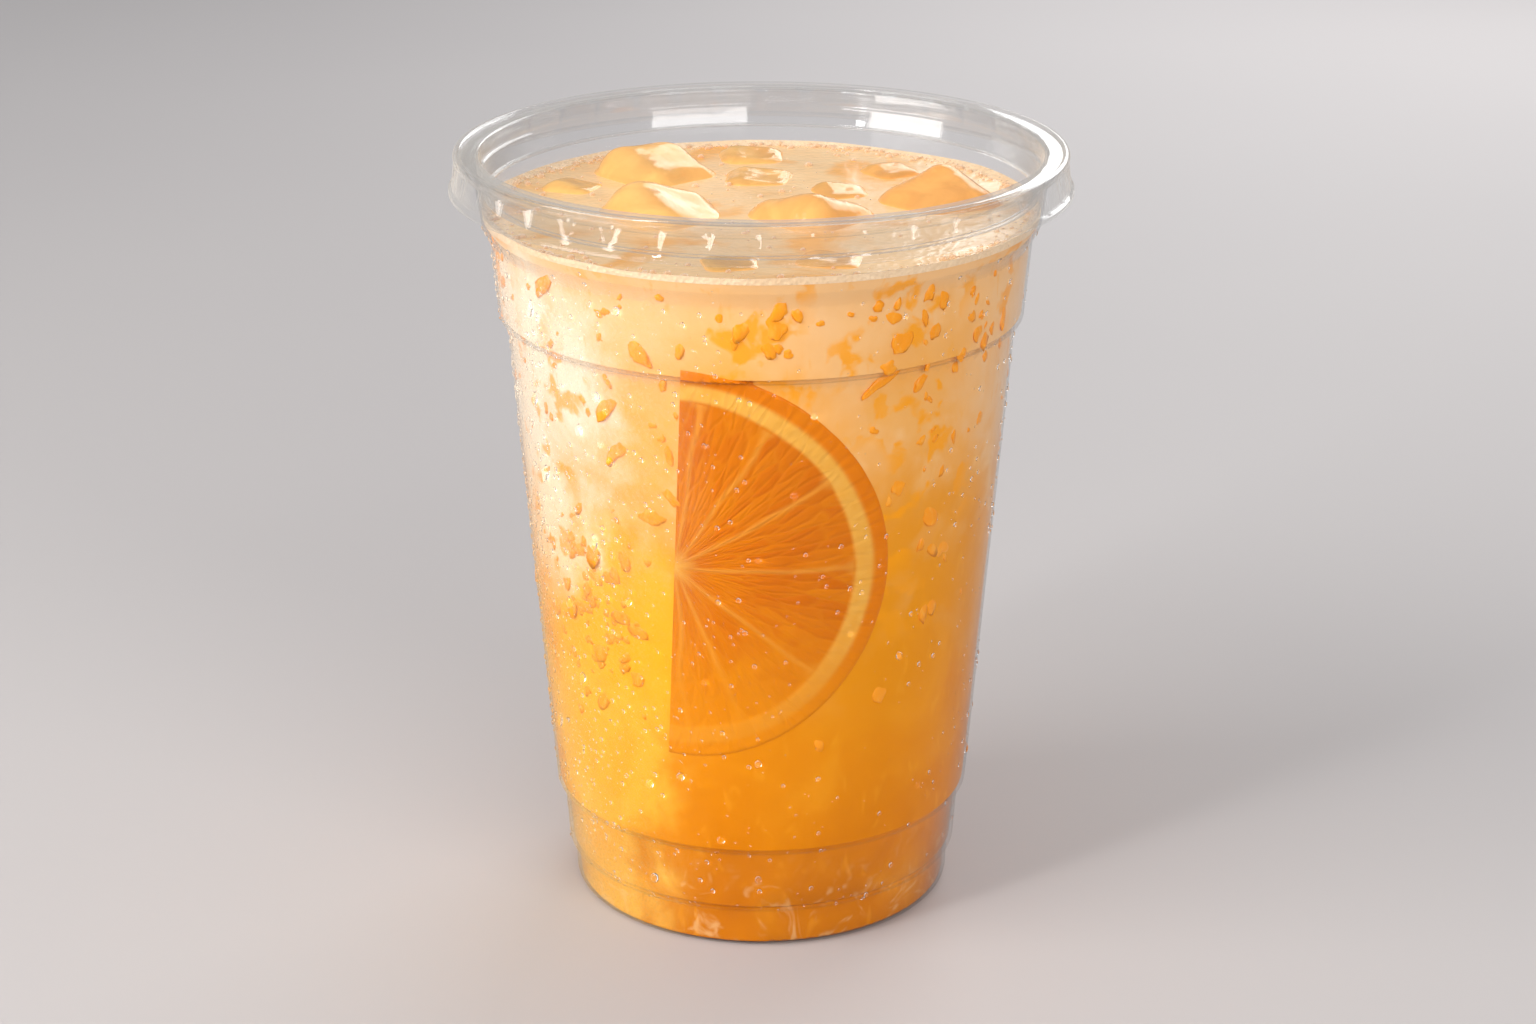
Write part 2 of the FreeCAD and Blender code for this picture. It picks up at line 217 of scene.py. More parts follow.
def finish_clear(material, tree, film, mist_and_edge_glow, amount):
    """Lay the white layer (mist on the cup, a painted edge highlight on the lid) over the film and
    send it to the output.
    """
    surface = add(tree, "ShaderNodeMixShader", {0: amount, 1: film, 2: mist_and_edge_glow})
    add(tree, "ShaderNodeOutputMaterial", {"Surface": surface})
    return material


def cup_film():
    """PET with breath-fine condensation, laid thick on the left where the key light falls; its
    white there is partly painted light.
    """
    material, tree, place, film, mist_and_edge_glow = clear_plastic(
        "clear_pet_cup_misted", "#FEFEFE", "#F5F5F4", 0.011, 0.1
    )
    split = add(tree, "ShaderNodeSeparateXYZ", {"Vector": place}).outputs
    beads = add(tree, "ShaderNodeTexVoronoi", {"Vector": place, "Scale": 1600.0}, feature="F1")
    # what is measured, where its range starts and ends, and the share at each end
    warmth, side, below_level, grain = (
        add(
            tree,
            "ShaderNodeMapRange",
            {"Value": value, "From Min": low, "From Max": high, "To Min": first, "To Max": last},
        )
        for value, low, high, first, last in (
            (split["Z"], 0.085, 0.05, 0.0, 1.0),
            (split["X"], -0.007, -0.042, 0.0, 0.4),
            (split["Z"], 0.121, 0.112, 0.0, 1.0),
            (beads, 0.15, 0.6, 1.0, 0.45),
        )
    )
    dew_tint = add(
        tree,
        "ShaderNodeMix",
        {"Factor": warmth, "A": linear("#F2E8D8"), "B": linear("#F6CB62")},
        data_type="RGBA",
    )
    tree.links.new(dew_tint.outputs["Result"], mist_and_edge_glow.inputs["Color"])
    cloud = add(
        tree,
        "ShaderNodeTexNoise",
        {"Vector": place, "Scale": 55.0, "Detail": 5.0, "Roughness": 0.65},
    )
    # the mist is laid only on the key-lit left and not on the shaded right: real condensation, and
    # partly painted light
    amount = side
    for factor in (below_level, grain, cloud):
        amount = add(tree, "ShaderNodeMath", {0: amount, 1: factor}, operation="MULTIPLY")
    amount = add(
        tree, "ShaderNodeMath", {0: amount, 1: 1.9}, operation="MULTIPLY", use_clamp=True
    )
    return finish_clear(material, tree, film, mist_and_edge_glow, amount)


cup.data.materials.append(cup_film())
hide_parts("cup")
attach(cup, "root")

# ---- The lid ring ----
# A push-fit ring of the same PET with an open middle: a stepped plug inside the neck, a flat
# seat on the rim, a rounded bead, and a skirt whose pinched dimples grip under the rolled rim.
LID_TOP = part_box("lid_ring")[1][2] / MM
LID_WALL = 0.45
LID_DIMPLES = 40
PLATEAU = LID_TOP - 0.4
BEAD = 0.65
BEAD_MIDDLE = Vector((NECK_RADIUS + 2 * CURL + 0.55, LID_TOP - BEAD))
SKIRT_TOP = BEAD_MIDDLE.y - BEAD
SKIRT_BOTTOM = SKIRT_TOP - 5.2
SKIRT_FACE = BEAD_MIDDLE.x + BEAD - 0.125
DIMPLE_TOP = SKIRT_TOP - 0.45
DIMPLE_LENGTH = 4.0
DIMPLE_WIDTH = 2.5
DIMPLE_DEPTH = 0.56


def pinch(angle, radius, height):
    """Press the skirt in at each dimple: widest and deepest at its top, nothing at its tip."""
    fade = (height - (DIMPLE_TOP - DIMPLE_LENGTH)) / DIMPLE_LENGTH
    if radius < SKIRT_FACE - 1.0 or not 0 < fade <= 1.04:
        return radius, height
    pitch = 2 * math.pi / LID_DIMPLES
    across = abs((angle + pitch / 2) % pitch - pitch / 2) * radius
    half = DIMPLE_WIDTH / 2 * min(fade, 1.0)
    if across >= half:
        return radius, height
    fade = fade if fade <= 1.0 else max(0.0, 1 - (fade - 1) / 0.04)
    return radius - DIMPLE_DEPTH * min(fade, 1.0) * (1 - across / half) ** 0.8, height


def lid_profile():
    """The ring's section, out along the top and back along the underside."""
    upper = [
        (44.3, SKIRT_BOTTOM - 0.1),
        (44.3, SKIRT_BOTTOM + 0.05),
        (44.95, SKIRT_BOTTOM + 0.05, 0.2),
        (45.42, PLATEAU - 3.2, 0.3),
        (45.78, PLATEAU - 2.85, 0.3),
        (45.86, PLATEAU, 0.4),
    ]
    arc = []
    for step in range(11):
        angle = math.radians(157 - 200 * step / 10)
        arc.append((BEAD_MIDDLE.x + BEAD * math.cos(angle), BEAD_MIDDLE.y + BEAD * math.sin(angle)))
    skirt = []
    top = (SKIRT_FACE, SKIRT_TOP - 0.2)
    low = (SKIRT_FACE + 0.45, SKIRT_BOTTOM + 1.05)
    for step in range(13):
        share = step / 12
        skirt.append(Vector(top).lerp(Vector(low), share))
    lip = [
        (SKIRT_FACE + 0.93, SKIRT_BOTTOM + 0.62, 0.12),
        (SKIRT_FACE + 0.98, SKIRT_BOTTOM, 0.08),
        (SKIRT_FACE + 0.72, SKIRT_BOTTOM, 0.08),
        (SKIRT_FACE + 0.68, SKIRT_BOTTOM + 0.4, 0.1),
    ]
    under_skirt = [(p.x - LID_WALL, p.y - 0.05) for p in reversed(skirt)]
    under = [
        (BEAD_MIDDLE.x + 0.2, BEAD_MIDDLE.y + 0.05, 0.1),
        (BEAD_MIDDLE.x, BEAD_MIDDLE.y + 0.2, 0.1),
        (BEAD_MIDDLE.x - BEAD, PLATEAU - LID_WALL, 0.1),
        (46.31, PLATEAU - LID_WALL, 0.2),
        (46.23, PLATEAU - 2.85, 0.2),
        (45.87, PLATEAU - 3.2, 0.2),
        (45.4, SKIRT_BOTTOM - 0.4, 0.2),
        (44.3, SKIRT_BOTTOM - 0.4),
    ]
    return rounded([*upper, *arc, *[tuple(p) for p in skirt], *lip, *under_skirt, *under], 4)


lid = lathe("lid_ring_film", lid_profile(), LID_DIMPLES * 16, pinch)


def lid_film():
    """The lid stays dry: glossy PET, a little greyer where it folds, with a painted white highlight
    laid on where it is seen edgewise.
    """
    material, tree, _, film, mist_and_edge_glow = clear_plastic(
        "clear_pet_lid_dry", "#FEFEFE", "#E6E9EB", 0.06, 0.05
    )
    # painted highlight: white laid over the film where it is seen edgewise, in place of the bright
    # reflections along its folds
    edge_glow_facing = add(tree, "ShaderNodeLayerWeight", {"Blend": 0.5}).outputs["Facing"]
    sharp = add(tree, "ShaderNodeMath", {0: edge_glow_facing, 1: 4.0}, operation="POWER")
    amount = add(tree, "ShaderNodeMapRange", {"Value": sharp, "To Max": 0.4})
    return finish_clear(material, tree, film, mist_and_edge_glow, amount)


lid.data.materials.append(lid_film())
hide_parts("lid_ring")
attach(lid, "root")

# ---- The drink ----
# Orange juice with pulp below, topped with a creamy probiotic milk drink that sinks into it in
# clouds. It wets the wall, so its outside reaches a hair into the plastic.
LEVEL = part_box("drink")[1][2] / MM
WALL_REACH = 0.2
# how far, in metres, the edge of a cloud wanders
RAGGED = 0.024


def cad_copy(node, name):
    """A merged, outward-facing copy of a CAD node's mesh as a new object."""
    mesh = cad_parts[node].data.copy()
    mesh.name = name
    mesh.materials.clear()
    shape = bmesh.new()
    shape.from_mesh(mesh)
    bmesh.ops.remove_doubles(shape, verts=shape.verts, dist=1e-6)
    bmesh.ops.recalc_face_normals(shape, faces=shape.faces)
    shape.to_mesh(mesh)
    shape.free()
    piece = bpy.data.objects.new(name, mesh)
    bpy.context.scene.collection.objects.link(piece)
    return piece


def wall_inside(height):
    """The cup's inner radius at a height, both in millimetres."""
    run = rounded(cup_outside())
    lift = CUP_WALL if height < 30.0 else 0.0
    return float(np.interp(height, [p.y + lift for p in run], [p.x - CUP_WALL for p in run]))


WALL_HEIGHTS = np.linspace(0.0, RIM_HEIGHT, 640)
WALL_RADII = np.array([wall_inside(h) for h in WALL_HEIGHTS])

drink = cad_copy("drink", "drink_body")
for vertex in drink.data.vertices:
    radius = math.hypot(vertex.co.x, vertex.co.y)
    height = vertex.co.z / MM
    if radius / MM > np.interp(height, WALL_HEIGHTS, WALL_RADII) - 0.25:
        vertex.co.xy *= 1 + WALL_REACH * MM / radius
    if height < 4.0:
        vertex.co.z -= WALL_REACH * MM
drink.data.shade_smooth()
drink.data.set_sharp_from_angle(angle=math.radians(30))


def patches(tree, place, scale, detail, swirl, low, high):
    """Soft-edged patches: none where cloudy noise is under low, full where it is over high."""
    cloud = add(
        tree,
        "ShaderNodeTexNoise",
        {"Vector": place, "Scale": scale, "Detail": detail, "Distortion": swirl},
    )
    return add(
        tree,
        "ShaderNodeMapRange",
        {"Value": cloud, "From Min": low, "From Max": high},
        interpolation_type="SMOOTHSTEP",
    )


def mottled(tree, place, scale, detail, one, two, swirl=0.0):
    """Two colours that run into each other as clouds of noise."""
    cloud = add(
        tree,
        "ShaderNodeTexNoise",
        {"Vector": place, "Scale": scale, "Detail": detail, "Distortion": swirl},
    )
    return add(
        tree,
        "ShaderNodeMix",
        {"Factor": cloud, "A": linear(one), "B": linear(two)},
        data_type="RGBA",
    )


def laid(tree, share, strength, under, code):
    """A colour laid over another: the share says where, and the strength how thickly."""
    amount = add(tree, "ShaderNodeMath", {0: share, 1: strength}, operation="MULTIPLY")
    return add(
        tree,
        "ShaderNodeMix",
        {"Factor": amount, "A": under, "B": linear(code)},
        data_type="RGBA",
    )


def solid(material, colour, roughness, ior, gloss=0.5, bump=None):
    """Close a material with one opaque surface; 0.5 is the plain gloss of its refraction."""
    inputs = {
        "Base Color": colour,
        "Roughness": roughness,
        "IOR": ior,
        "Specular IOR Level": gloss,
    }
    if bump:
        inputs["Normal"] = bump
    body = add(material.node_tree, "ShaderNodeBsdfPrincipled", inputs)
    add(material.node_tree, "ShaderNodeOutputMaterial", {"Surface": body})
    return material


def drink_liquid():
    """Opaque and creamy: pale peach on top, clear juice orange at the foot, marbled between."""
    material, tree = new_material("creamy_orange_probiotic_drink")
    place = add(tree, "ShaderNodeTexCoord").outputs["Object"]
    up = add(tree, "ShaderNodeSeparateXYZ", {"Vector": place}).outputs["Z"]
    height = up
    for scale, detail, swirl, reach in ((26, 4, 1, 0.07), (95, 5, 2, 0.02)):
        cloud = add(
            tree,
            "ShaderNodeTexNoise",
            {"Vector": place, "Scale": scale, "Detail": detail, "Distortion": swirl},
        )
        sway = add(tree, "ShaderNodeMath", {0: cloud, 1: 0.5}, operation="SUBTRACT")
        drift = add(tree, "ShaderNodeMath", {0: sway, 1: reach}, operation="MULTIPLY")
        height = add(tree, "ShaderNodeMath", {0: height, 1: drift}, operation="ADD")
    share = add(tree, "ShaderNodeMath", {0: height, 1: 0.12}, operation="DIVIDE", use_clamp=True)
    layers = add(tree, "ShaderNodeValToRGB", {"Fac": share})
    ramp = layers.color_ramp
    stops = (
        (0.0, "#CE7402"),
        (0.18, "#DF8303"),
        (0.36, "#E88D05"),
        (0.5, "#EE9A14"),
        (0.63, "#F2A53C"),
        (0.76, "#F3B264"),
        (0.9, "#F4BD7C"),
        (1.0, "#F4C288"),
    )
    for index, (at, code) in enumerate(stops):
        stop = ramp.elements[index] if index < 2 else ramp.elements.new(at)
        stop.position = at
        stop.color = linear(code)
    # heights in metres at which each of these starts to show and is full
    risen, sunk, above_foot, at_foot = (
        add(
            tree,
            "ShaderNodeMapRange",
            {"Value": up, "From Min": low, "From Max": high},
            interpolation_type="SMOOTHSTEP",
        )
        for low, high in ((0.04, 0.068), (0.112, 0.078), (0.05, 0.07), (0.02, 0.004))
    )
    between = add(tree, "ShaderNodeMath", {0: risen, 1: sunk}, operation="MULTIPLY")
    curds = patches(tree, place, 105, 6, 0.5, 0.5, 0.66)
    curds = add(tree, "ShaderNodeMath", {0: curds, 1: between}, operation="MULTIPLY")
    colour = laid(tree, curds, 0.5, layers, "#FAD093")
    # (middle of a cloud and its reach, in millimetres, how thick it is, its colour)
    for spot, reach, strength, code in (
        ((-27, -30, 57), 24, 0.95, "#FBB21C"),
        ((-24, -33, 92), 13, 0.6, "#F9B04A"),
        ((25, -32, 100), 15, 0.5, "#F0A640"),
        ((27, -32, 60), 30, 0.7, "#E9940C"),
        ((-38, -18, 96), 30, 0.95, "#F4E2C8"),
        ((-34, -18, 72), 16, 0.8, "#F4DEBC"),
        ((41, -14, 98), 18, 0.7, "#F3C590"),
        ((-28, -22, 32), 24, 0.85, "#F7BA3C"),
        ((-27, -17, 8), 20, 0.8, "#F8BF54"),
    ):
        away = add(
            tree, "ShaderNodeVectorMath", {0: place, 1: Vector(spot) * MM}, operation="DISTANCE"
        )
        cloud = add(
            tree,
            "ShaderNodeTexNoise",
            {"Vector": place, "Scale": 130, "Detail": 4, "Distortion": 0.4},
        )
        ragged = add(tree, "ShaderNodeMath", {0: cloud, 1: RAGGED}, operation="MULTIPLY")
        away = add(tree, "ShaderNodeMath", {0: away, 1: ragged}, operation="ADD")
        shade = add(
            tree,
            "ShaderNodeMapRange",
            {
                "Value": away,
                "From Min": reach * MM + RAGGED / 2,
                "From Max": reach * MM * 0.45 + RAGGED / 2,
            },
            interpolation_type="SMOOTHSTEP",
        )
        colour = laid(tree, shade, strength, colour, code)
    groups = patches(tree, place, 42, 2, 0.0, 0.4, 0.54)
    groups = add(tree, "ShaderNodeMath", {0: groups, 1: above_foot}, operation="MULTIPLY")
    flecks = patches(tree, place, 175, 3, 0.3, 0.54, 0.63)
    flecks = add(tree, "ShaderNodeMath", {0: flecks, 1: groups}, operation="MULTIPLY")
    colour = laid(tree, flecks, 0.85, colour, "#FBA20E")
    drawn = add(tree, "ShaderNodeMapping", {"Vector": place, "Scale": (1, 1, 0.7)})
    colour = laid(tree, patches(tree, drawn, 60, 5, 0.8, 0.52, 0.72), 0.45, colour, "#F4A01C")
    drawn = add(tree, "ShaderNodeMapping", {"Vector": place, "Scale": (1, 1, 0.45)})
    colour = laid(tree, patches(tree, drawn, 420, 2, 0.6, 0.6, 0.74), 0.35, colour, "#F6A626")
    foot = patches(tree, place, 110, 4, 3.0, 0.55, 0.72)
    foot = add(tree, "ShaderNodeMath", {0: foot, 1: at_foot}, operation="MULTIPLY")
    colour = laid(tree, foot, 0.5, colour, "#F3C98C")
    ripple = add(tree, "ShaderNodeTexNoise", {"Vector": place, "Scale": 160, "Detail": 3})
    waves = add(tree, "ShaderNodeBump", {"Strength": 0.35, "Distance": 0.0006, "Height": ripple})
    return solid(material, colour, 0.35, 1.35, 0.12, waves)


def drink_top():
    """The wet open surface: smooth cream with a wet gloss, thinning to orange round the ice."""
    material, tree = new_material("creamy_wet_surface")
    place = add(tree, "ShaderNodeTexCoord").outputs["Object"]
    colour = mottled(tree, place, 120, 4, "#F7C485", "#FCDAA8", 1.0)
    colour = laid(tree, patches(tree, place, 62, 3, 0.5, 0.5, 0.66), 0.85, colour, "#F9AE48")
    swell = add(tree, "ShaderNodeTexNoise", {"Vector": place, "Scale": 70, "Detail": 3})
    froth = add(tree, "ShaderNodeTexVoronoi", {"Vector": place, "Scale": 900.0}, feature="F1")
    froth = add(tree, "ShaderNodeMath", {0: froth, 1: 0.08}, operation="MULTIPLY")
    ripple = add(tree, "ShaderNodeMath", {0: swell, 1: froth}, operation="ADD")
    waves = add(tree, "ShaderNodeBump", {"Strength": 0.5, "Distance": 0.0012, "Height": ripple})
    return solid(material, colour, 0.2, 1.35, 0.3, waves)


drink.data.materials.append(drink_liquid())
drink.data.materials.append(drink_top())
for face in drink.data.polygons:
    if face.center.z > (LEVEL - 0.02) * MM:
        face.material_index = 1
        face.use_smooth = False
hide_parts("drink")
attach(drink, "root")

# ---- The half slice of orange ----
# Half a round of orange, pressed flat against the inside of the wall and so bent to it: juice
# sacs between pale skins, a pale pith and an orange rind. Its foot is veiled by the drink.
SLICE_RADIUS = 34.3
SLICE_THICKNESS = 5.0
SLICE_MIDDLE = (-13.7, 69.8)
SLICE_TILT = math.radians(2.3)
SLICE_RINGS = 105
SLICE_RAYS = 300
PITH_INSIDE = 28.2
RIND_INSIDE = 31.0
SKINS = (84, 60, 34, 2, -37, -66, -84)


def slice_point(reach, angle, depth):
    """A point of the slice: reach and angle on the flat round, depth inwards from the wall."""
    x = SLICE_MIDDLE[0] + reach * math.cos(angle - SLICE_TILT)
    z = SLICE_MIDDLE[1] + reach * math.sin(angle - SLICE_TILT)
    radius = np.interp(z, WALL_HEIGHTS, WALL_RADII) - depth
    return Vector((x, -math.sqrt(radius * radius - x * x), z)) * MM


def slice_look(reach, angle):
    """How pale and how much of a rind the slice is at a place on the flat round."""
    wobble = noise.noise(Vector((reach * 0.11, math.degrees(angle) * 0.03, 3.0)))
    off = min(abs(math.degrees(angle) + wobble * 3 - skin) for skin in SKINS)
    across = math.radians(off) * reach
    edge = PITH_INSIDE + 0.8 * wobble
    skin = max(0.0, 1 - across / (0.45 + 0.012 * reach)) if reach < edge else 0.0
    core = max(0.0, 1 - reach / (3.2 + 2 * wobble))
    pith = min(1.0, max(0.0, (reach - edge) / 0.6))
    rind = min(1.0, max(0.0, (reach - RIND_INSIDE - wobble * 0.5) / 0.7))
    corner = 0.0
    if reach < edge:
        corner = max(0.0, 1 - (edge - reach + across * 1.3) / 2.6)
    pale = min(1.0, max(skin * 0.42, core * 1.1, pith, corner * 0.55))
    return pale, rind


def orange_slice():
    """Front and back faces on the bent round, sewn along the arc and the cut edge."""
    shape = bmesh.new()
    pale_layer = shape.verts.layers.float.new("pale")
    rind_layer = shape.verts.layers.float.new("rind")
    flat = shape.loops.layers.uv.new("flat_mm")
    place_of = {}
    faces = []
    for front in (True, False):
        grid = []
        for ring in range(SLICE_RINGS + 1):
            reach = SLICE_RADIUS * ring / SLICE_RINGS
            row = []
            for ray in range(SLICE_RAYS + 1):
                if ring == 0 and ray:
                    row.append(row[0])
                    continue
                angle = math.pi * (ray / SLICE_RAYS - 0.5)
                pale, rind = slice_look(reach, angle)
                grain = noise.noise(Vector((reach * 0.5, math.degrees(angle) * 0.35, 0)))
                sunk = -0.3 + 0.12 * (1 - pale) + 0.04 * grain * (1 - pale)
                rolled = 0.9 * max(0.0, (reach - SLICE_RADIUS + 0.9) / 0.9) ** 2
                depth = sunk + rolled if front else SLICE_THICKNESS - rolled
                vert = shape.verts.new(slice_point(reach, angle, depth))
                vert[pale_layer] = pale
                vert[rind_layer] = rind
                place_of[vert] = (reach / 50, math.degrees(angle) / 180 + 0.5)
                row.append(vert)
            grid.append(row)
        faces.append(grid)
        for inner, outer in zip(grid, grid[1:]):
            for ray in range(SLICE_RAYS):
                corners = [inner[ray], outer[ray], outer[ray + 1], inner[ray + 1]]
                corners = [v for i, v in enumerate(corners) if v not in corners[:i]]
                shape.faces.new(corners if front else corners[::-1])
    front, back = faces
    edge = [row[-1] for row in front[:0:-1]] + [row[0] for row in front]
    behind = [row[-1] for row in back[:0:-1]] + [row[0] for row in back]
    edge += front[-1][1:-1]
    behind += back[-1][1:-1]
    for index in range(len(edge)):
        after = (index + 1) % len(edge)
        shape.faces.new((edge[index], edge[after], behind[after], behind[index]))
    for face in shape.faces:
        for loop in face.loops:
            loop[flat].uv = place_of[loop.vert]
    return finished("orange_half_slice", shape, 50)


def orange_flesh():
    """Wet juice sacs run out from the core; pith is matt and pale, rind pitted and waxy."""
    material, tree = new_material("fresh_orange_slice")
    place = add(tree, "ShaderNodeTexCoord").outputs["Object"]
    flat = add(tree, "ShaderNodeUVMap", uv_map="flat_mm")
    pale = add(tree, "ShaderNodeAttribute", attribute_name="pale").outputs["Fac"]
    rind = add(tree, "ShaderNodeAttribute", attribute_name="rind").outputs["Fac"]
    sacs = add(tree, "ShaderNodeMapping", {"Vector": flat, "Scale": (9.0, 46.0, 1.0)})
    wavy = add(tree, "ShaderNodeTexNoise", {"Vector": sacs, "Scale": 0.8}).outputs["Color"]
    bent = add(tree, "ShaderNodeVectorMath", {0: sacs, 1: wavy}, operation="ADD")
    cells, tone = (
        add(
            tree,
            "ShaderNodeTexVoronoi",
            {"Vector": bent, "Scale": 1.0},
            feature=feature,
            voronoi_dimensions="2D",
        )
        for feature in ("DISTANCE_TO_EDGE", "F1")
    )
    tint = add(tree, "ShaderNodeSeparateColor", {"Color": tone.outputs["Color"]})
    juice = add(
        tree,
        "ShaderNodeMix",
        {"Factor": tint, "A": linear("#D26B02"), "B": linear("#DC7B06")},
        data_type="RGBA",
    )
    up = add(tree, "ShaderNodeSeparateXYZ", {"Vector": place}).outputs["Z"]
    lines, swell, under = (
        add(
            tree,
            "ShaderNodeMapRange",
            {"Value": value, "From Min": low, "From Max": high},
            interpolation_type="SMOOTHSTEP",
        )
        for value, low, high in ((cells, 0.12, 0.0), (cells, 0.0, 0.35), (up, 0.066, 0.042))
    )
    juice = laid(tree, lines, 0.2, juice, "#E58F1A")
    juice = laid(tree, patches(tree, place, 130, 4, 0.0, 0.5, 0.7), 0.4, juice, "#CC6601")
    pith = mottled(tree, place, 500, 3, "#E9A236", "#F0B656")
    skin = mottled(tree, place, 300, 3, "#DE7503", "#E68106")
    colour = add(tree, "ShaderNodeMix", {"Factor": pale, "A": juice, "B": pith}, data_type="RGBA")
    colour = add(tree, "ShaderNodeMix", {"Factor": rind, "A": colour, "B": skin}, data_type="RGBA")
    wisps = patches(tree, place, 70, 4, 1.5, 0.5, 0.75)
    wisps = add(tree, "ShaderNodeMath", {0: wisps, 1: 0.3}, operation="MULTIPLY")
    under = add(tree, "ShaderNodeMath", {0: under, 1: 0.95}, operation="MULTIPLY")
    veil = add(tree, "ShaderNodeMath", {0: under, 1: wisps}, operation="ADD", use_clamp=True)
    colour = laid(tree, veil, 0.85, colour, "#E58B08")
    bump = add(tree, "ShaderNodeBump", {"Strength": 0.3, "Distance": 0.0004, "Height": swell})
    return solid(material, colour, 0.3, 1.38, 0.15, bump)


half_slice = orange_slice()
half_slice.data.materials.append(orange_flesh())
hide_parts("orange_slice")
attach(half_slice, "root")

# ---- The ice ----
# Clear cubes and chips, rounded by melting, afloat and wet. The drink shows through them, and
# the part below the level meets the drink with no air between.
ICE_NODES = sorted(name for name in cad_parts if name.startswith("ice_"))
ICE_VOXEL = 0.55


def baked(piece):
    """The mesh of a piece with its modifiers applied, in place of the old one."""
    graph = bpy.context.evaluated_depsgraph_get()
    graph.update()
    mesh = bpy.data.meshes.new_from_object(piece.evaluated_get(graph))
    piece.modifiers.clear()
    old = piece.data
    piece.data = mesh
    mesh.name = piece.name
    bpy.data.meshes.remove(old)
    return piece


def melted_ice(node):
    """One block, remeshed fine, thawed into shallow hollows and grown to meet the drink."""
    piece = cad_copy(node, node + "_melted")
    remesh = piece.modifiers.new("thaw", "REMESH")
    remesh.mode = "VOXEL"
    remesh.voxel_size = ICE_VOXEL * MM
    remesh.use_smooth_shade = True
    baked(piece)
    seed = Vector((0, 0, 7.0 * int(node[-2:])))
    count = len(piece.data.vertices)
    normals = np.empty(count * 3, np.float32)
    piece.data.vertex_normals.foreach_get("vector", normals)
    normals = normals.reshape(-1, 3)
    for vertex, normal in zip(piece.data.vertices, normals):
        here = vertex.co / MM
        dents = noise.noise(here * 0.12 + seed) * 0.5 + noise.noise(here * 0.3 + seed) * 0.08
        sunk = min(1.0, max(0.0, (LEVEL + 0.9 - here.z) / 1.2))
        push = dents * (1 - sunk) - 0.1 * (1 - sunk) + 0.34 * sunk
        vertex.co += Vector(normal) * push * MM
    piece.data.shade_smooth()
    return piece


def past_shadows(tree, shader, tint):
    """The shader as it is seen, but clear and faintly tinted to light on its way to a shadow."""
    clear = add(tree, "ShaderNodeBsdfTransparent", {"Color": linear(tint)})
    rays = add(tree, "ShaderNodeLightPath").outputs["Is Shadow Ray"]
    surface = add(tree, "ShaderNodeMixShader", {0: rays, 1: shader, 2: clear})
    add(tree, "ShaderNodeOutputMaterial", {"Surface": surface})


def wet_ice():
    """Clear ice with a milky heart; light passes it as through water, so nothing goes black."""
    material, tree = new_material("wet_melting_ice")
    place = add(tree, "ShaderNodeTexCoord").outputs["Object"]
    dents = add(
        tree,
        "ShaderNodeTexNoise",
        {"Vector": place, "Scale": 150, "Detail": 3, "Distortion": 0.3},
    )
    ripple = add(tree, "ShaderNodeBump", {"Strength": 0.4, "Distance": 0.0008, "Height": dents})
    glass = add(
        tree,
        "ShaderNodeBsdfGlass",
        {"Color": linear("#FFECCC"), "Roughness": 0.02, "IOR": 1.31, "Normal": ripple},
    )
    across = add(tree, "ShaderNodeSeparateXYZ", {"Vector": place}).outputs["X"]
    side = add(
        tree,
        "ShaderNodeMapRange",
        {"Value": across, "From Min": -0.02, "From Max": 0.03},
        interpolation_type="SMOOTHSTEP",
    )
    tint = add(
        tree,
        "ShaderNodeMix",
        {"Factor": side, "A": linear("#FECB7C"), "B": linear("#F9BA6C")},
        data_type="RGBA",
    )
    milk = add(
        tree,
        "ShaderNodeBsdfPrincipled",
        {
            "Base Color": tint,
            "Roughness": 0.15,
            "IOR": 1.31,
            "Specular IOR Level": 0.3,
            "Normal": ripple,
        },
    )
    heart = patches(tree, place, 140, 4, 0.8, 0.35, 0.7)
    heart.inputs["To Min"].default_value = 0.66
    heart.inputs["To Max"].default_value = 0.86
    body = add(tree, "ShaderNodeMixShader", {0: heart, 1: glass, 2: milk})
    past_shadows(tree, body, "#FFF2DC")
    return material


ice_material = wet_ice()
for ice_node in ICE_NODES:
    block = melted_ice(ice_node)
    block.data.materials.append(ice_material)
    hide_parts(ice_node)
    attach(block, "root")

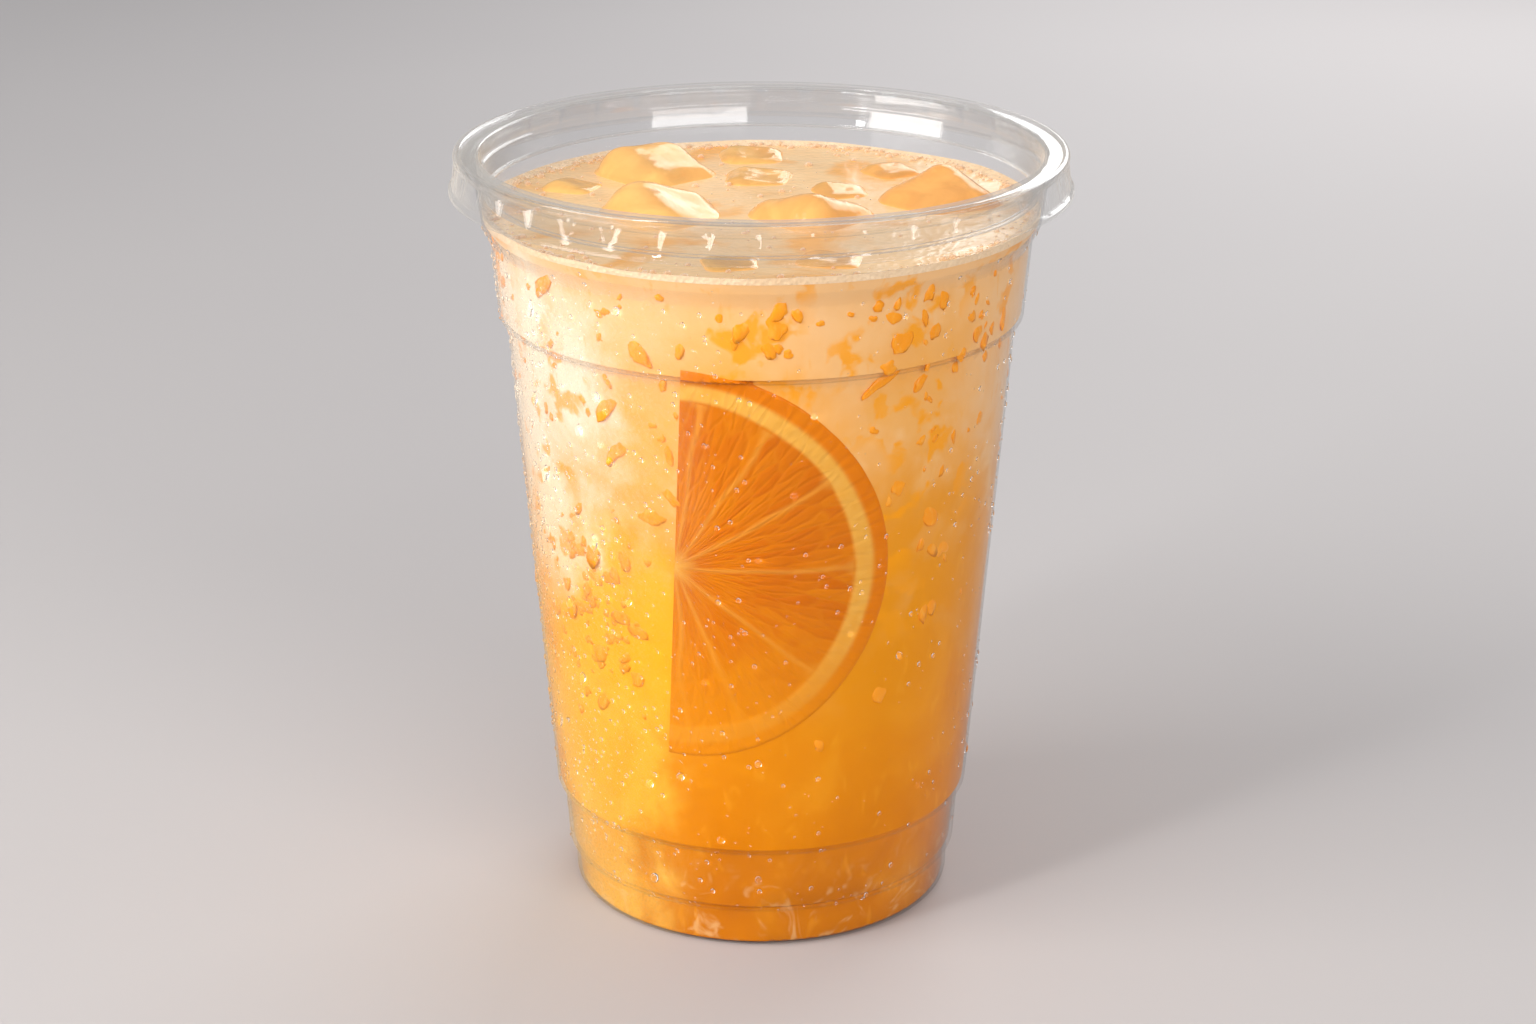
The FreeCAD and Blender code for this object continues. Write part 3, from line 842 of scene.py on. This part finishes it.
# ---- Pulp at the wall ----
# Torn juice sacs that the creamy drink has carried up against the plastic. They press on the
# wall, so each is a flat, uneven blob, larger ones lying aslant with the swirl.
# (distance right of the middle, height, width, length, lean in degrees), in millimetres
PULP = (
    (-19, 106, 3.2, 7.5, -40),
    (-15, 100.5, 1.4, 2.2, 10),
    (-13, 95.5, 1.2, 1.8, 0),
    (-17, 93.5, 1.8, 1.6, 30),
    (-15.5, 91.5, 1.5, 2.4, -20),
    (-14.5, 89.5, 1.8, 4.2, -15),
    (-24, 96, 3.0, 8.0, 30),
    (-22, 89, 2.5, 7.0, 38),
    (-17, 78, 4.6, 3.6, 20),
    (-14.5, 82, 1.6, 4.5, -40),
    (-36.5, 112, 1.4, 1.2, 0),
    (-15.5, 115, 1.4, 1.1, 0),
    (-25, 111, 2.2, 1.5, 20),
    (-6.5, 112.5, 1.8, 1.5, 0),
    (2, 111.5, 5.2, 3.4, 75),
    (4, 107, 2.0, 1.8, 0),
    (-4, 109, 1.8, 2.6, 20),
    (9, 111.5, 1.4, 1.2, 0),
    (13.5, 112.5, 1.3, 1.1, 0),
    (17, 111.5, 1.5, 1.2, 0),
    (20, 111.5, 3.2, 2.6, 30),
    (22, 107.5, 3.4, 5.4, 35),
    (19.5, 103.5, 3.0, 3.0, 0),
    (18.5, 100.5, 1.8, 6.8, 55),
    (25, 99.5, 2.2, 3.6, 50),
    (34, 105.5, 2.2, 3.4, 20),
    (34.5, 108, 1.6, 1.6, 0),
    (33.5, 111, 1.4, 2.0, 15),
    (31.5, 102.5, 1.8, 2.4, 25),
    (30.5, 100, 1.6, 2.2, 20),
    (38.5, 106.5, 1.3, 5.0, 18),
    (17.5, 92.5, 1.6, 1.8, 0),
    (25, 89.5, 1.8, 2.8, 20),
    (30.5, 88.5, 1.6, 3.0, 10),
    (35, 89.5, 2.0, 2.6, 0),
    (21.5, 82.5, 3.0, 3.4, 30),
    (20, 80, 1.6, 2.0, 0),
    (27, 76, 4.2, 3.4, 40),
    (29, 69, 3.6, 3.8, 0),
    (-27, 65, 4.0, 2.6, 60),
    (-20, 48.5, 3.0, 3.4, 20),
    (19, 46, 2.6, 3.0, 10),
    (9, 38.5, 3.2, 2.2, 70),
)


def blob(shape, bearing, height, wide, long, lean, thick, out, rough, sides, rings):
    """Add one flattened lump to a mesh, pressed on the wall at a bearing (0 is the front)."""
    radius = float(np.interp(height, WALL_HEIGHTS, WALL_RADII)) + out
    made = bmesh.ops.create_uvsphere(shape, u_segments=sides, v_segments=rings, radius=1.0)
    seed = Vector((bearing * 31, height * 1.7, wide))
    slope = math.radians(5.2)
    turn = Matrix.Rotation(bearing, 4, "Z") @ Matrix.Rotation(-slope, 4, "X")
    spin = Matrix.Rotation(math.radians(lean), 4, "Y")
    size = Matrix.Diagonal((wide / 2, thick / 2, long / 2, 1))
    centre = Vector((math.sin(bearing) * radius, -math.cos(bearing) * radius, height))
    for vert in made["verts"]:
        lump = 1 + rough * noise.noise(vert.co * 1.1 + seed)
        local = spin @ size @ (vert.co * lump)
        vert.co = (turn @ local + centre) * MM
    return made["verts"]


def lump_piece(name, rows, thick, out, rough, sides, rings):
    """All lumps of one kind as one closed piece."""
    shape = bmesh.new()
    for bearing, height, wide, long, lean in rows:
        blob(shape, bearing, height, wide, long, lean, thick, out, rough, sides, rings)
    return finished(name, shape)


def at_front(rows):
    """Rows placed by their distance to the right, turned into rows placed by bearing."""
    turned = []
    for x, height, *rest in rows:
        radius = float(np.interp(height, WALL_HEIGHTS, WALL_RADII))
        turned.append((math.asin(max(-0.99, min(0.99, x / radius))), height, *rest))
    return turned


def strewn_pulp(count, raft):
    """Small torn sacs all round, most of them high up, and a raft of them half way at the left."""
    luck = random.Random(8)
    rows = []
    while len(rows) < count:
        bearing = luck.uniform(-math.pi, math.pi)
        height = 114.5 - 58 * luck.random() ** 1.7
        if abs(math.degrees(bearing) - 3) < 34 and height < 106:
            continue
        wide = 0.8 + 1.9 * luck.random() ** 2
        rows.append((bearing, height, wide, wide * luck.uniform(0.9, 2.4), luck.uniform(-50, 50)))
    for _ in range(raft):
        bearing = math.radians(luck.gauss(-46, 9))
        height = luck.gauss(57, 8)
        wide = 0.9 + 2.4 * luck.random() ** 2
        rows.append((bearing, height, wide, wide * luck.uniform(0.8, 1.8), luck.uniform(-60, 60)))
    return rows


def pulp_sacs():
    """Juice-filled and glossy, a stronger orange than the milk round them."""
    material, tree = new_material("orange_pulp_sacs")
    place = add(tree, "ShaderNodeTexCoord").outputs["Object"]
    colour = mottled(tree, place, 220, 3, "#F79206", "#FCA41A")
    drawn = add(tree, "ShaderNodeMapping", {"Vector": place, "Scale": (1, 1, 0.5)})
    colour = laid(tree, patches(tree, drawn, 900, 2, 1.0, 0.5, 0.7), 0.4, colour, "#FBB84A")
    return solid(material, colour, 0.35, 1.37)


pulp = lump_piece("pulp_sacs", at_front(PULP), 0.84, -0.17, 0.6, 22, 12)
strewn = lump_piece("strewn_pulp", strewn_pulp(180, 80), 0.76, -0.14, 0.6, 10, 6)
pulp_material = pulp_sacs()
for sacs in (pulp, strewn):
    sacs.data.materials.append(pulp_material)
    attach(sacs, "root")

# ---- Foam and bubbles on the drink ----
# Shaking left fine bubbles that gather where the surface meets the wall and the ice.
# A creamy collar of them climbs the wall a little.


def collar(angle, radius, height):
    """Let the foam collar swell and thin round the wall."""
    swell = 0.5 + 0.5 * noise.noise(Vector((math.cos(angle) * 3, math.sin(angle) * 3, 1.0)))
    inner = np.interp(LEVEL, WALL_HEIGHTS, WALL_RADII)
    if radius < inner - 0.2:
        radius = inner - (inner - radius) * (0.5 + swell)
    if height > LEVEL:
        height = LEVEL + (height - LEVEL) * (0.35 + swell)
    return radius, height


def foam_white():
    """Fine wet foam: almost white, tinted by the drink, pricked all over with cells."""
    material, tree = new_material("fine_milky_foam")
    place = add(tree, "ShaderNodeTexCoord").outputs["Object"]
    cells = add(tree, "ShaderNodeTexVoronoi", {"Vector": place, "Scale": 1400.0}, feature="F1")
    bump = add(tree, "ShaderNodeBump", {"Strength": 0.7, "Distance": 0.0003, "Height": cells})
    colour = mottled(tree, place, 250, 3, "#EBC496", "#F8DFBE")
    return solid(material, colour, 0.35, 1.33, bump=bump)


edge_radius = float(np.interp(LEVEL, WALL_HEIGHTS, WALL_RADII))
collar_run = [
    (edge_radius - 1.6, LEVEL - 0.15),
    (edge_radius + 0.1, LEVEL - 0.4),
    (edge_radius + 0.18, LEVEL + 0.75),
    (edge_radius - 0.35, LEVEL + 0.6),
    (edge_radius - 0.9, LEVEL + 0.25),
    (edge_radius - 1.6, LEVEL + 0.02),
]
foam = lathe("foam_collar", collar_run, 360, collar)
foam_material = foam_white()
foam.data.materials.append(foam_material)
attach(foam, "root")


def sprinkler():
    """Geometry Nodes group: low-poly beads scattered on a surface where 'wet' allows."""
    tree = bpy.data.node_groups.new("beads_on_surface", "GeometryNodeTree")
    face = tree.interface
    face.new_socket("Geometry", in_out="INPUT", socket_type="NodeSocketGeometry")
    for name in ("Density", "Smallest", "Largest", "Flatness", "Stretch"):
        face.new_socket(name, in_out="INPUT", socket_type="NodeSocketFloat")
    face.new_socket("Seed", in_out="INPUT", socket_type="NodeSocketInt")
    face.new_socket("Material", in_out="INPUT", socket_type="NodeSocketMaterial")
    face.new_socket("Geometry", in_out="OUTPUT", socket_type="NodeSocketGeometry")
    given = add(tree, "NodeGroupInput").outputs
    wet = add(tree, "GeometryNodeInputNamedAttribute", {"Name": "wet"}).outputs["Attribute"]
    amount = add(tree, "ShaderNodeMath", {0: wet, 1: given["Density"]}, operation="MULTIPLY")
    points = add(
        tree,
        "GeometryNodeDistributePointsOnFaces",
        {"Mesh": given["Geometry"], "Density": amount, "Seed": given["Seed"]},
        distribute_method="RANDOM",
    )
    bead = add(tree, "GeometryNodeMeshUVSphere", {"Segments": 5, "Rings": 4, "Radius": 0.5})
    chance = add(tree, "FunctionNodeRandomValue", {"Seed": given["Seed"]}, data_type="FLOAT")
    share = add(tree, "ShaderNodeMath", {0: chance, 1: 3.0}, operation="POWER")
    span = add(
        tree,
        "ShaderNodeMath",
        {0: given["Largest"], 1: given["Smallest"]},
        operation="SUBTRACT",
    )
    span = add(tree, "ShaderNodeMath", {0: share, 1: span}, operation="MULTIPLY")
    size = add(tree, "ShaderNodeMath", {0: given["Smallest"], 1: span}, operation="ADD")
    long, flat = (
        add(tree, "ShaderNodeMath", {0: size, 1: given[name]}, operation="MULTIPLY")
        for name in ("Stretch", "Flatness")
    )
    scale = add(tree, "ShaderNodeCombineXYZ", {"X": size, "Y": long, "Z": flat})
    placed = add(
        tree,
        "GeometryNodeInstanceOnPoints",
        {
            "Points": points,
            "Instance": bead,
            "Rotation": points.outputs["Rotation"],
            "Scale": scale,
        },
    )
    real = add(tree, "GeometryNodeRealizeInstances", {"Geometry": placed})
    smooth = add(tree, "GeometryNodeSetShadeSmooth", {"Geometry": real})
    painted = add(
        tree, "GeometryNodeSetMaterial", {"Geometry": smooth, "Material": given["Material"]}
    )
    add(tree, "NodeGroupOutput", {"Geometry": painted})
    return tree


BEADS = sprinkler()


def sprinkled(name, surface, wetness, **settings):
    """Scatter beads over a carrier mesh; wetness(point in mm) gives the share of full density."""
    wet = surface.data.attributes.new("wet", "FLOAT", "POINT")
    wet.data.foreach_set("value", [wetness(v.co / MM) for v in surface.data.vertices])
    surface.name = name
    grow = surface.modifiers.new("beads", "NODES")
    grow.node_group = BEADS
    for item in BEADS.interface.items_tree:
        if item.in_out == "INPUT" and item.name in settings:
            grow[item.identifier] = settings[item.name]
    baked(surface)
    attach(surface, "root")


def carrier(run, turns=180):
    """An open skin turned from a run, to scatter on."""
    mesh = bpy.data.meshes.new("carrier")
    shape = bmesh.new()
    rows = []
    for radius, height in run:
        ring = []
        for turn in range(turns):
            angle = 2 * math.pi * turn / turns
            point = Vector((radius * math.cos(angle), radius * math.sin(angle), height))
            ring.append(shape.verts.new(point * MM))
        rows.append(ring)
    for low, high in zip(rows, rows[1:]):
        for turn in range(turns):
            after = (turn + 1) % turns
            shape.faces.new((low[turn], low[after], high[after], high[turn]))
    shape.to_mesh(mesh)
    shape.free()
    piece = bpy.data.objects.new("carrier", mesh)
    bpy.context.scene.collection.objects.link(piece)
    return piece


def bubble_film():
    """Thin-walled bubbles: mostly clear with a bright rim and a pinpoint glint."""
    material, tree = new_material("milky_bubble_film")
    place = add(tree, "ShaderNodeTexCoord").outputs["Object"]
    clear = add(tree, "ShaderNodeBsdfTransparent", {"Color": linear("#FFF4E4")})
    colour = mottled(tree, place, 700, 2, "#F3CFA4", "#FCEBD6")
    body = add(
        tree, "ShaderNodeBsdfPrincipled", {"Base Color": colour, "Roughness": 0.08, "IOR": 1.4}
    )
    rim = add(tree, "ShaderNodeLayerWeight", {"Blend": 0.45}).outputs["Facing"]
    amount = add(tree, "ShaderNodeMath", {0: rim, 1: 0.7}, operation="MULTIPLY")
    amount = add(tree, "ShaderNodeMath", {0: amount, 1: 0.3}, operation="ADD", use_clamp=True)
    surface = add(tree, "ShaderNodeMixShader", {0: amount, 1: clear, 2: body})
    add(tree, "ShaderNodeOutputMaterial", {"Surface": surface})
    return material


bubble_material = bubble_film()


def near_wall(point):
    """Bubbles crowd towards the wall, most at the back."""
    away = edge_radius - math.hypot(point.x, point.y)
    back = 0.55 + 0.45 * max(0.0, point.y / edge_radius)
    return max(0.0, 1 - away / 5.0) ** 2 * back + 0.012


surface_run = [(edge_radius - 0.3 - 1.2 * step, LEVEL + 0.02) for step in range(34)]
sprinkled(
    "foam_bubbles",
    carrier(surface_run[::-1]),
    near_wall,
    Density=2.6e6,
    Smallest=0.0003,
    Largest=0.0016,
    Flatness=0.8,
    Stretch=1.0,
    Seed=5,
    Material=bubble_material,
)

# ---- Condensation ----
# Water from the air on the cold outside: a dense dew of fine beads on the left, thinner to the
# right, with some that have grown, run together and begun to slide.
def dew_share(point):
    """More dew where the drink chills the wall, much more to the left."""
    cold = 1.0 if point.z < LEVEL else 0.12
    left = min(1.0, max(0.0, (-point.x - 4) / 30))
    patch = 0.55 + 0.9 * noise.noise(Vector(point) * 0.07)
    return max(0.0, cold * (0.17 + 0.83 * left) * patch)


def clear_water():
    """Water beads: lens-like, with bright glints; shadows pass through them."""
    material, tree = new_material("condensed_water")
    water = add(
        tree, "ShaderNodeBsdfGlass", {"Color": linear("#FFFFFF"), "Roughness": 0.0, "IOR": 1.33}
    )
    past_shadows(tree, water, "#FBFAF8")
    return material


water_material = clear_water()
outer_run = [(p.x, p.y) for p in rounded(cup_outside()) if 6.0 < p.y < 121.0]
fine_run = []
for low, high in zip(outer_run, outer_run[1:]):
    steps = max(1, int((high[1] - low[1]) / 2.0))
    fine_run += [
        (low[0] + (high[0] - low[0]) * s / steps, low[1] + (high[1] - low[1]) * s / steps)
        for s in range(steps)
    ]
sprinkled(
    "dew_beads",
    carrier(fine_run),
    dew_share,
    Density=6.0e5,
    Smallest=0.00022,
    Largest=0.0010,
    Flatness=0.5,
    Stretch=1.15,
    Seed=11,
    Material=water_material,
)

# (distance right of the middle, height, width, length, lean), in millimetres
DROPS = (
    (-36, 108.5, 1.7, 3.0, 6),
    (-36, 92, 1.6, 2.4, 0),
    (-34.5, 79.5, 1.7, 2.9, 4),
    (-25.5, 96.5, 1.5, 1.8, 0),
    (-28.5, 90, 1.4, 2.0, 0),
    (-26.5, 71, 1.8, 2.8, 3),
    (-22, 112, 1.4, 1.5, 0),
    (-24, 94.5, 1.2, 1.3, 0),
    (-23.5, 86, 1.3, 1.6, 0),
    (-25, 88.5, 1.0, 1.1, 0),
    (-18, 29.5, 1.5, 1.7, 0),
    (-13, 32, 1.3, 1.4, 0),
    (-0.5, 35.5, 1.2, 1.2, 0),
    (-6.5, 21, 1.4, 1.5, 0),
    (-17.5, 12, 1.5, 1.6, 0),
    (-0.5, 14, 1.1, 1.2, 0),
    (-0.5, 72, 1.1, 1.2, 0),
    (5, 83, 1.2, 1.3, 0),
    (25.5, 26, 1.4, 1.6, 0),
    (34.8, 24, 1.5, 2.2, 0),
    (-33.5, 33, 1.5, 2.4, 0),
    (-31, 58, 1.5, 1.9, 0),
    (-29, 45, 1.4, 1.8, 0),
    (-21, 62, 1.2, 1.4, 0),
    (14, 58, 1.1, 1.2, 0),
    (22, 52, 1.2, 1.4, 0),
    (8, 96, 1.0, 1.1, 0),
    (-9, 50, 1.1, 1.2, 0),
)
drops = lump_piece("run_together_drops", at_front(DROPS), 0.95, CUP_WALL + 0.02, 0.12, 18, 12)
drops.data.materials.append(water_material)
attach(drops, "root")

# ---- Floor, light and camera ----
# A pale floor under a large soft light from the left, as in a plain product picture.
FLOOR_REACH = 4
FLOOR_TOP = -0.0002
LOOK_DOWN = 20.1

floor_mesh = bpy.data.meshes.new("floor")
corners = [
    (x * FLOOR_REACH, y * FLOOR_REACH, FLOOR_TOP) for x, y in ((-1, -1), (1, -1), (1, 1), (-1, 1))
]
floor_mesh.from_pydata(corners, [], [(0, 1, 2, 3)])
floor = bpy.data.objects.new("floor", floor_mesh)
bpy.context.scene.collection.objects.link(floor)


def paper():
    """Matt, faintly warm grey paper."""
    material, tree = new_material("pale_grey_paper")
    place = add(tree, "ShaderNodeTexCoord").outputs["Object"]
    return solid(material, mottled(tree, place, 3, 2, "#BCB8B8", "#C3BFBE"), 0.7, 1.5, 0.3)


floor_mesh.materials.append(paper())


def soft_light(name, place, aim, wide, high, watts, tint):
    """A rectangular soft box pointed at a spot."""
    lamp = bpy.data.lights.new(name, "AREA")
    lamp.shape = "RECTANGLE"
    lamp.size = wide
    lamp.size_y = high
    lamp.energy = watts
    lamp.color = linear(tint)[:3]
    box = bpy.data.objects.new(name, lamp)
    box.location = place
    box.rotation_euler = (Vector(aim) - Vector(place)).to_track_quat("-Z", "Y").to_euler()
    bpy.context.scene.collection.objects.link(box)


soft_light("key_softbox", (-0.8, -0.35, 0.42), (0, 0, 0.07), 0.6, 0.7, 6.8, "#FFFBF6")
soft_light("fill_softbox", (0.5, -0.95, 0.6), (0, 0, 0.06), 0.9, 0.6, 7, "#FFFCF9")
soft_light("back_softbox", (0.4, 0.85, 0.5), (0, 0, 0.06), 0.7, 0.5, 4.5, "#FFFFFF")
soft_light("rim_strip", (-0.42, -0.42, 0.5), (0, 0, 0.12), 0.06, 0.5, 1.5, "#FFFFFF")

world = bpy.data.worlds.new("studio")
world.use_nodes = True
world.node_tree.nodes.clear()
sky = add(world.node_tree, "ShaderNodeBackground", {"Color": linear("#E4E6EA"), "Strength": 0.5})
add(world.node_tree, "ShaderNodeOutputWorld", {"Surface": sky.outputs["Background"]})
bpy.context.scene.world = world

lens = bpy.data.cameras.new("camera")
lens.lens = 71
lens.sensor_width = 36
lens.shift_x = 0.0043
lens.clip_start = 0.01
camera = bpy.data.objects.new("camera", lens)
camera.location = (0, -0.483, 0.2422)
camera.rotation_euler = (math.radians(90 - LOOK_DOWN), 0, 0)
bpy.context.scene.collection.objects.link(camera)
bpy.context.scene.camera = camera
bpy.context.scene.view_settings.view_transform = "Standard"
bpy.context.scene.cycles.transparent_max_bounces = 32
